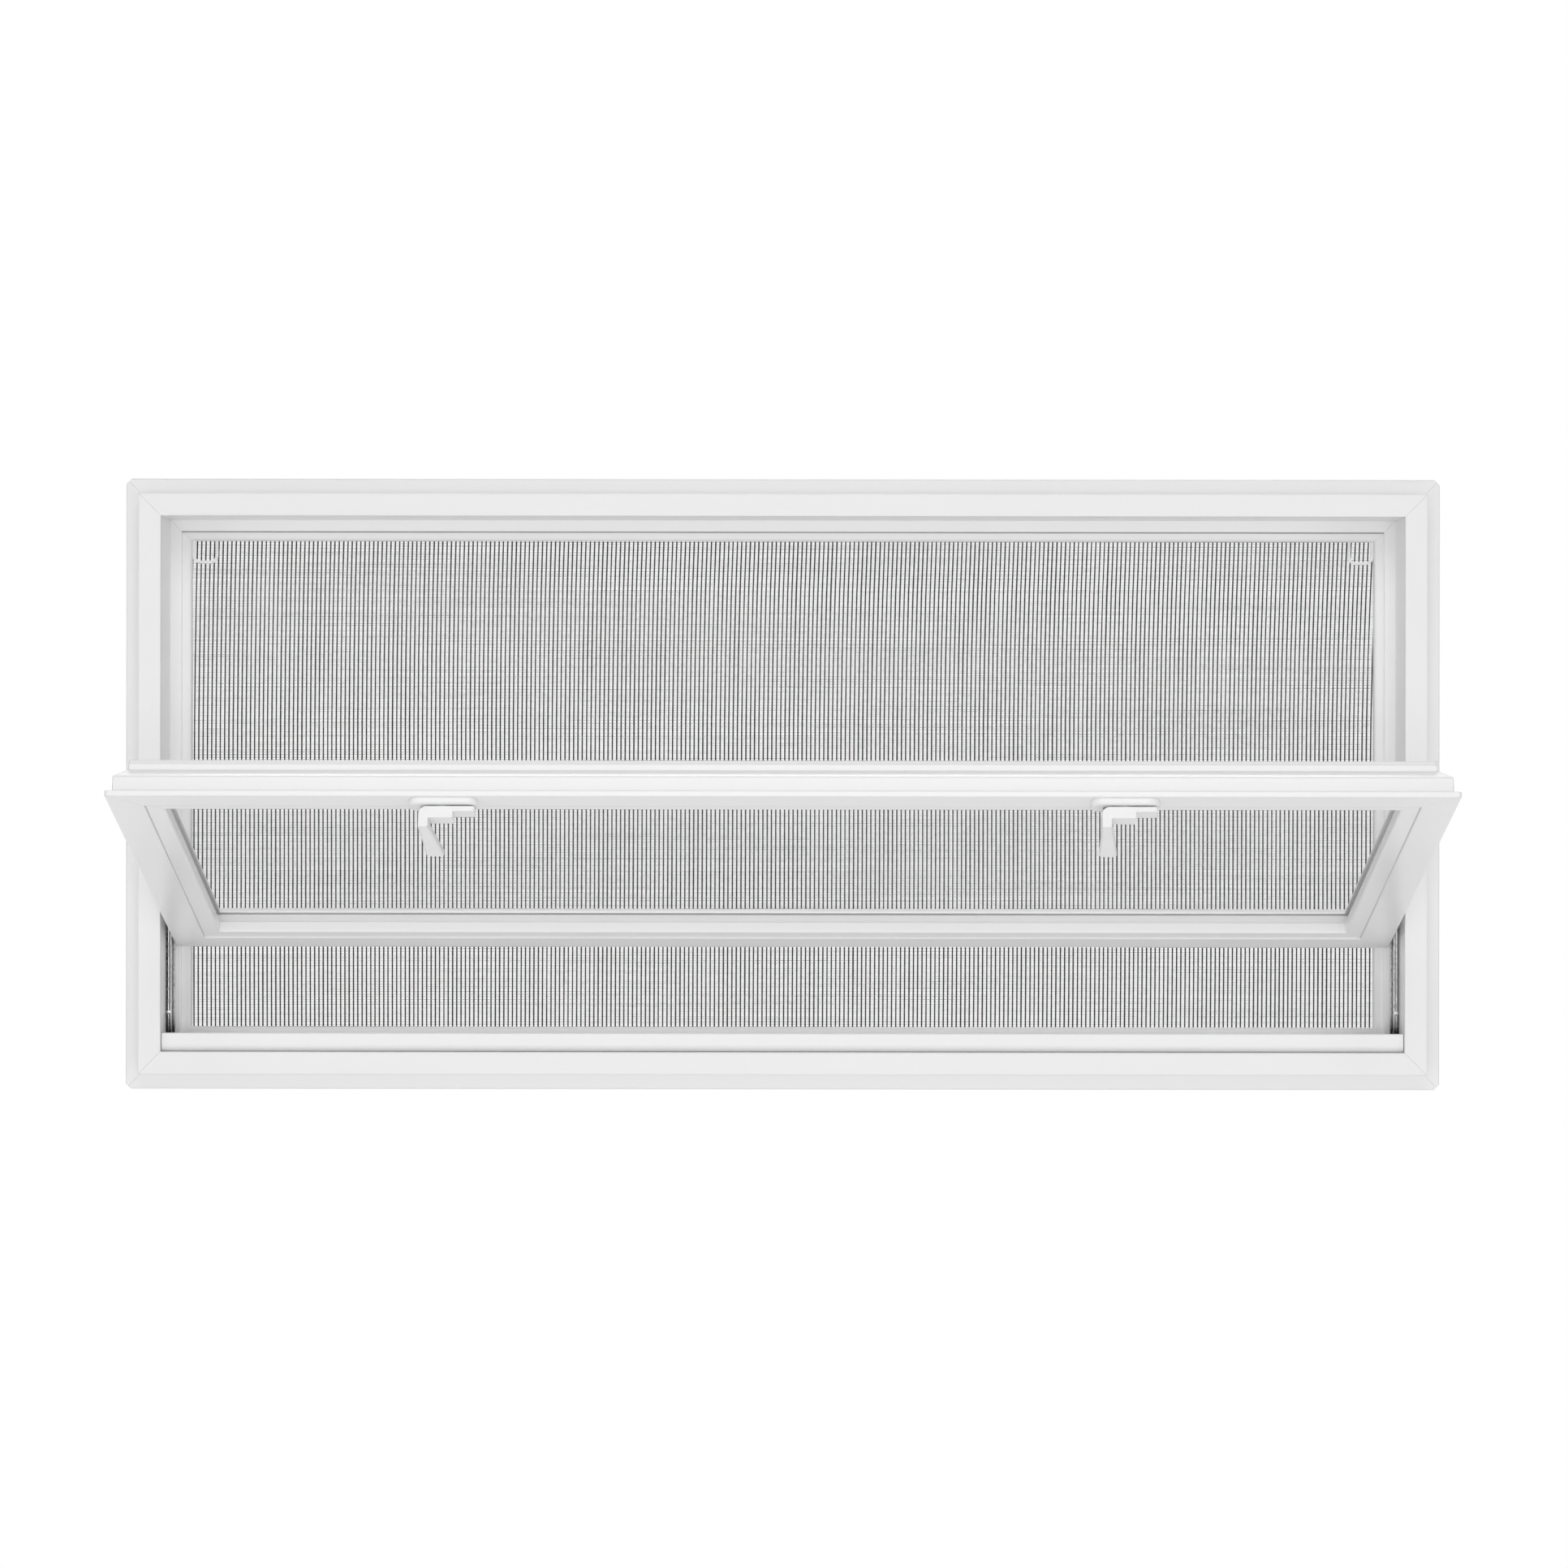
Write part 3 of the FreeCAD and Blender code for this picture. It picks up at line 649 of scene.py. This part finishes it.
def cross_head(centre, normal, radius, rise, spin):
    """Screw head: a square grid drawn into a disc, raised as rise·(1 - 0.55 r²), with a cross-shaped recess
    cut where a point lies near either arm, and a rim that runs down to the seat."""
    half, end, slope = 0.17, 0.55, 0.03
    crown, cut, seat = 0.55, 0.75, -0.1
    line = np.array([-1.0, -0.82, -0.62, -0.5, -0.34, -half - slope, -half + slope, 0.0])
    line = np.concatenate([line, -line[-2::-1]])
    u, v = np.meshgrid(line, line, indexing="ij")
    x = u * np.sqrt(1 - v * v / 2)
    y = v * np.sqrt(1 - u * u / 2)
    r2 = x * x + y * y
    off_u, off_v = np.abs(u), np.abs(v)
    arm = ((off_u < half) & (off_v < end)) | ((off_v < half) & (off_u < end))
    height = rise * (1 - crown * r2) - np.where(arm, cut * rise * (1 - 0.6 * r2), 0.0)
    height = np.where(r2 > 0.98, seat, height)
    side, up = axes_on(normal)
    c, s = math.cos(spin), math.sin(spin)
    a = (c * x - s * y)[..., None] * side + (s * x + c * y)[..., None] * up
    points = np.asarray(centre) + radius * a + height[..., None] * np.asarray(normal, float)
    return points.reshape(-1, 3), sheet_faces(len(line), len(line))


def dome_head(centre, normal, radius, rise):
    """Pin or rivet head: a profile that starts at the pole and falls as a quarter ellipse to its seat, turned
    round the pin's axis."""
    rings, spokes = 7, 20
    t = np.linspace(0.02, np.pi / 2, rings)[:, None]
    angle = 2 * np.pi * np.arange(spokes)[None, :] / spokes
    side, up = axes_on(normal)
    out = radius * np.sin(t)
    ring = (out * np.cos(angle))[..., None] * side + (out * np.sin(angle))[..., None] * up
    height = rise * np.cos(t) + 0 * angle
    points = np.asarray(centre) + ring + height[..., None] * np.asarray(normal, float)
    return points.reshape(-1, 3), sheet_faces(rings, spokes, wrap_columns=True)


def heads(name, shapes, finish, body):
    """Several heads as one piece."""
    sizes = [len(p) for p, _ in shapes]
    first = np.cumsum([0] + sizes[:-1])
    points = np.concatenate([p for p, _ in shapes])
    faces = np.concatenate([f + a for (_, f), a in zip(shapes, first)])
    return put(name, points, faces, finish, body, smooth=False)


def dress(finish, *names):
    """Gives CAD nodes a finish."""
    for name in names:
        NODES[name].data.materials.clear()
        NODES[name].data.materials.append(finish)


LEVEL_RUN = (2.0, 700.0, 700.0)
UPRIGHT_RUN = (700.0, 700.0, 2.0)
# The frame's vinyl carries painted light: a whiter inner tone in its recess.
frame_level = vinyl("vinyl_frame_level", LEVEL_RUN, inner=0.95)
frame_upright = vinyl("vinyl_frame_upright", UPRIGHT_RUN, inner=0.95)
sash_level = vinyl("vinyl_sash_level", LEVEL_RUN, -OPEN_TURN, 0.90, rough=0.22)
sash_upright = vinyl("vinyl_sash_upright", UPRIGHT_RUN, -OPEN_TURN, 0.90, rough=0.22)
dress(frame_level, "frame_head", "frame_sill", "sill_stop")
dress(frame_upright, "left_jamb", "right_jamb")
dress(sash_level, "sash_top_rail", "sash_bottom_rail", "top_glazing_bead", "bottom_glazing_bead")
dress(sash_upright, "sash_left_stile", "sash_right_stile", "left_glazing_bead", "right_glazing_bead")
dress(coated_bar("paint_bar_level", LEVEL_RUN), "screen_top_bar", "screen_bottom_bar")
dress(coated_bar("paint_bar_upright", UPRIGHT_RUN), "screen_left_bar", "screen_right_bar")
seal_names = [edge + "_sash_seal" for edge in ("top", "bottom", "left", "right")]
dress(soft_strip("seal_skin", -OPEN_TURN), *seal_names)
dress(clear_tab("tab_nylon"), "left_pull_tab", "right_pull_tab")
# Painted reflection: the left track's bands are painted darker than the right's.
dress(rolled_track("steel_track_left", 0.015, 0.10), "left_track")
dress(rolled_track("steel_track_right", 0.12, 0.20), "right_track")
stay_steel = drawn_steel("steel_stay", (900.0, 3.0, 900.0))
arm_steel = drawn_steel("steel_sash_arm", (900.0, 900.0, 3.0))
dress(stay_steel, "left_stay_arm", "right_stay_arm")
dress(arm_steel, "left_sash_arm", "right_sash_arm")
dress(slider_plastic("shoe_acetal"), "left_shoe", "right_shoe")
dress(window_glass("float_glass"), "inner_pane", "outer_pane")
dress(spacer_bar("spacer_aluminium"), "glass_spacer")
cam_white = moulded_cam("cam_plastic", -OPEN_TURN)
dress(cam_white, "left_handle_base", "right_handle_base", "left_handle_lever", "right_handle_lever")

screen_cloth(coated_yarn("yarn_charcoal"))
screen_spline(rubber_cord("spline_rubber"))


def sash_point(x, v, u):
    """Place at rest, in millimetres, of a point given on the closed sash: turned about the sash's pin."""
    y, z = v - PIN_V, u - PIN_U
    c, s = math.cos(OPEN_TURN), math.sin(OPEN_TURN)
    return (x, PIN_Y + y * c - z * s, PIN_Z + y * s + z * c)


def stay_fixings(bright, painted_shade_steel):
    """Screws that hold the sash arms and the handle bases, domes on the stay's pins, and a rivet at the foot
    of each track."""
    room = np.array(sash_point(0.0, -1.0, 0.0)) - np.array(sash_point(0.0, 0.0, 0.0))
    arm, base, middle, low, foot = [], [], [], [], []
    for side in (-1, 1):
        inward = (-side, 0.0, 0.0)
        for place, u in enumerate(ARM_SCREW_U):
            seat = sash_point(side * ARM_X, ARM_V, u)
            arm.append(cross_head(seat, inward, *PIN_HEAD, spin=0.5 + side + 0.7 * place))
        for x, spin in zip(BASE_SCREW_X, (0.4, 1.0)):
            seat = sash_point(side * HANDLE_X + x, BASE_V, BASE_U)
            base.append(cross_head(seat, room, *BASE_HEAD, spin=spin + side))
        middle.append(dome_head((side * PIN_X, STAY_PIN_Y, STAY_PIN_Z), inward, *PIN_HEAD))
        low.append(dome_head((side * PIN_X, PIN_Y, PIN_Z), inward, *PIN_HEAD))
        foot.append(dome_head((side * RIVET_X, RIVET_Y, RIVET_Z), (0.0, -1.0, 0.0), *RIVET_HEAD))
    heads("sash_arm_screws", arm, bright, "sash")
    # The handle base screws take the dark steel: painted shade for heads in the shaded gap under the lever.
    heads("handle_base_screws", base, painted_shade_steel, "sash")
    heads("stay_pin_heads", middle, bright, "stay_arms")
    heads("shoe_pin_heads", low, bright, "shoes")
    heads("track_rivets", foot, bright, "frame")


# The dark steel for the handle base screws is painted shade; the other heads take the bright steel.
stay_fixings(fixing_steel("head_bright", 0.55, 0.78), fixing_steel("head_painted_shade", 0.10, 0.26))

# Light, floor and camera, in metres but for what is in pixels of the photo
scene = bpy.context.scene
scene.view_settings.view_transform = "Standard"

WORLD_LEVEL = 0.47
FLOOR_Z = -0.80
FLOOR_RADIUS = 3.2
FLOOR_RIM = (0.5, 0.95)
MIDDLE = (0.0, 0.0, 0.19)
PHOTO_PIXELS = 1932.0
FOCAL_PIXELS = 5543.9
SHIFT_X_PIXELS = 4.27
SHIFT_Y_PIXELS = -0.49
SENSOR_MM = 36.0
CAMERA_AT = (-0.00137, -2.7915, 0.187795)
CAMERA_ROLL = -0.00121


def white_seen(start):
    """1 for rays that show the backdrop: from the camera, off gloss or through glass."""
    kinds = ("Is Camera Ray", "Is Glossy Ray", "Is Transmission Ray")
    camera, glossy, through = (start.node("LightPath", out=kind) for kind in kinds)
    return start.node("Math", {0: camera + glossy, 1: through}, operation="MAXIMUM", use_clamp=True)


def studio():
    """Even white surround that looks white, and lights the window a little less."""
    world = bpy.data.worlds.new("studio")
    scene.world = world
    world.use_nodes = True
    world.node_tree.nodes.clear()
    start = Tone(world.node_tree)
    strength = WORLD_LEVEL + (1 - WORLD_LEVEL) * white_seen(start)
    sky = start.node("Background", {"Color": grey(1.0), "Strength": strength})
    start.node("OutputWorld", {"Surface": sky}, out=None)


def pale_floor():
    """Round floor below the window: pale and matt in the middle, white at the rim where it meets the
    surround, and clear from underneath."""
    rings, spokes = 9, 64
    radius = np.linspace(0.0, FLOOR_RADIUS, rings)[:, None]
    angle = 2 * np.pi * np.arange(spokes)[None, :] / spokes
    x, y = radius * np.cos(angle), radius * np.sin(angle)
    points = np.stack([x, y, np.full_like(x, FLOOR_Z)], axis=-1)
    faces = sheet_faces(rings, spokes, wrap_columns=True)[:, ::-1]
    mesh = bpy.data.meshes.new("floor")
    mesh.from_pydata(points.reshape(-1, 3).tolist(), [], faces.tolist())
    made, start = new_finish("floor_paper")
    place = in_place(start)
    far = start.node("VectorMath", {0: place}, out="Value", operation="LENGTH")
    rim = between(start, far, FLOOR_RIM, kind="SMOOTHSTEP")
    paper = start.node("BsdfDiffuse", {"Color": grey(0.86)})
    white = start.node("Emission", {"Color": grey(1.0), "Strength": 1.0})
    top = start.node("MixShader", {"Fac": rim * white_seen(start), 1: paper, 2: white})
    under = start.node("NewGeometry", out="Backfacing")
    shader = start.node("MixShader", {"Fac": under, 1: top, 2: start.node("BsdfTransparent")})
    start.node("OutputMaterial", {"Surface": shader}, out=None)
    mesh.materials.append(made)
    floor = bpy.data.objects.new("floor", mesh)
    scene.collection.objects.link(floor)


def softbox(name, place, aim, wide, high, power):
    """Oblong lamp that faces a point, out of sight for the camera and through glass."""
    lamp = bpy.data.lights.new(name, "AREA")
    lamp.shape = "RECTANGLE"
    lamp.size = wide
    lamp.size_y = high
    lamp.energy = power
    box = bpy.data.objects.new(name, lamp)
    away = np.asarray(place, float) - np.asarray(aim, float)
    flat = math.hypot(away[0], away[1])
    box.location = place
    box.rotation_euler = (math.atan2(flat, away[2]), 0.0, math.atan2(away[0], -away[1]))
    box.visible_camera = False
    box.visible_transmission = False
    scene.collection.objects.link(box)


studio()
pale_floor()
softbox("front", (0.0, -4.4, -0.05), MIDDLE, 2.4, 1.0, 25.0)
softbox("front_left", (-2.6, -2.2, 0.1), (0.1, 0.0, 0.19), 1.4, 1.4, 8.0)
softbox("front_right", (2.6, -2.2, 0.1), (-0.1, 0.0, 0.19), 1.4, 1.4, 8.0)
softbox("front_low", (0.0, -1.1, -0.70), (0.0, -0.15, 0.2), 2.0, 0.3, 1.5)
softbox("front_high", (0.0, -2.6, 2.0), MIDDLE, 1.6, 1.6, 18.0)
softbox("behind_high", (0.0, 2.8, 2.4), MIDDLE, 1.8, 1.8, 40.0)

view = bpy.data.cameras.new("front")
view.sensor_width = SENSOR_MM
view.lens = SENSOR_MM * FOCAL_PIXELS / PHOTO_PIXELS
view.shift_x = SHIFT_X_PIXELS / PHOTO_PIXELS
view.shift_y = SHIFT_Y_PIXELS / PHOTO_PIXELS
front = bpy.data.objects.new("front", view)
front.location = CAMERA_AT
front.rotation_euler = (math.pi / 2, CAMERA_ROLL, 0.0)
scene.collection.objects.link(front)
scene.camera = front
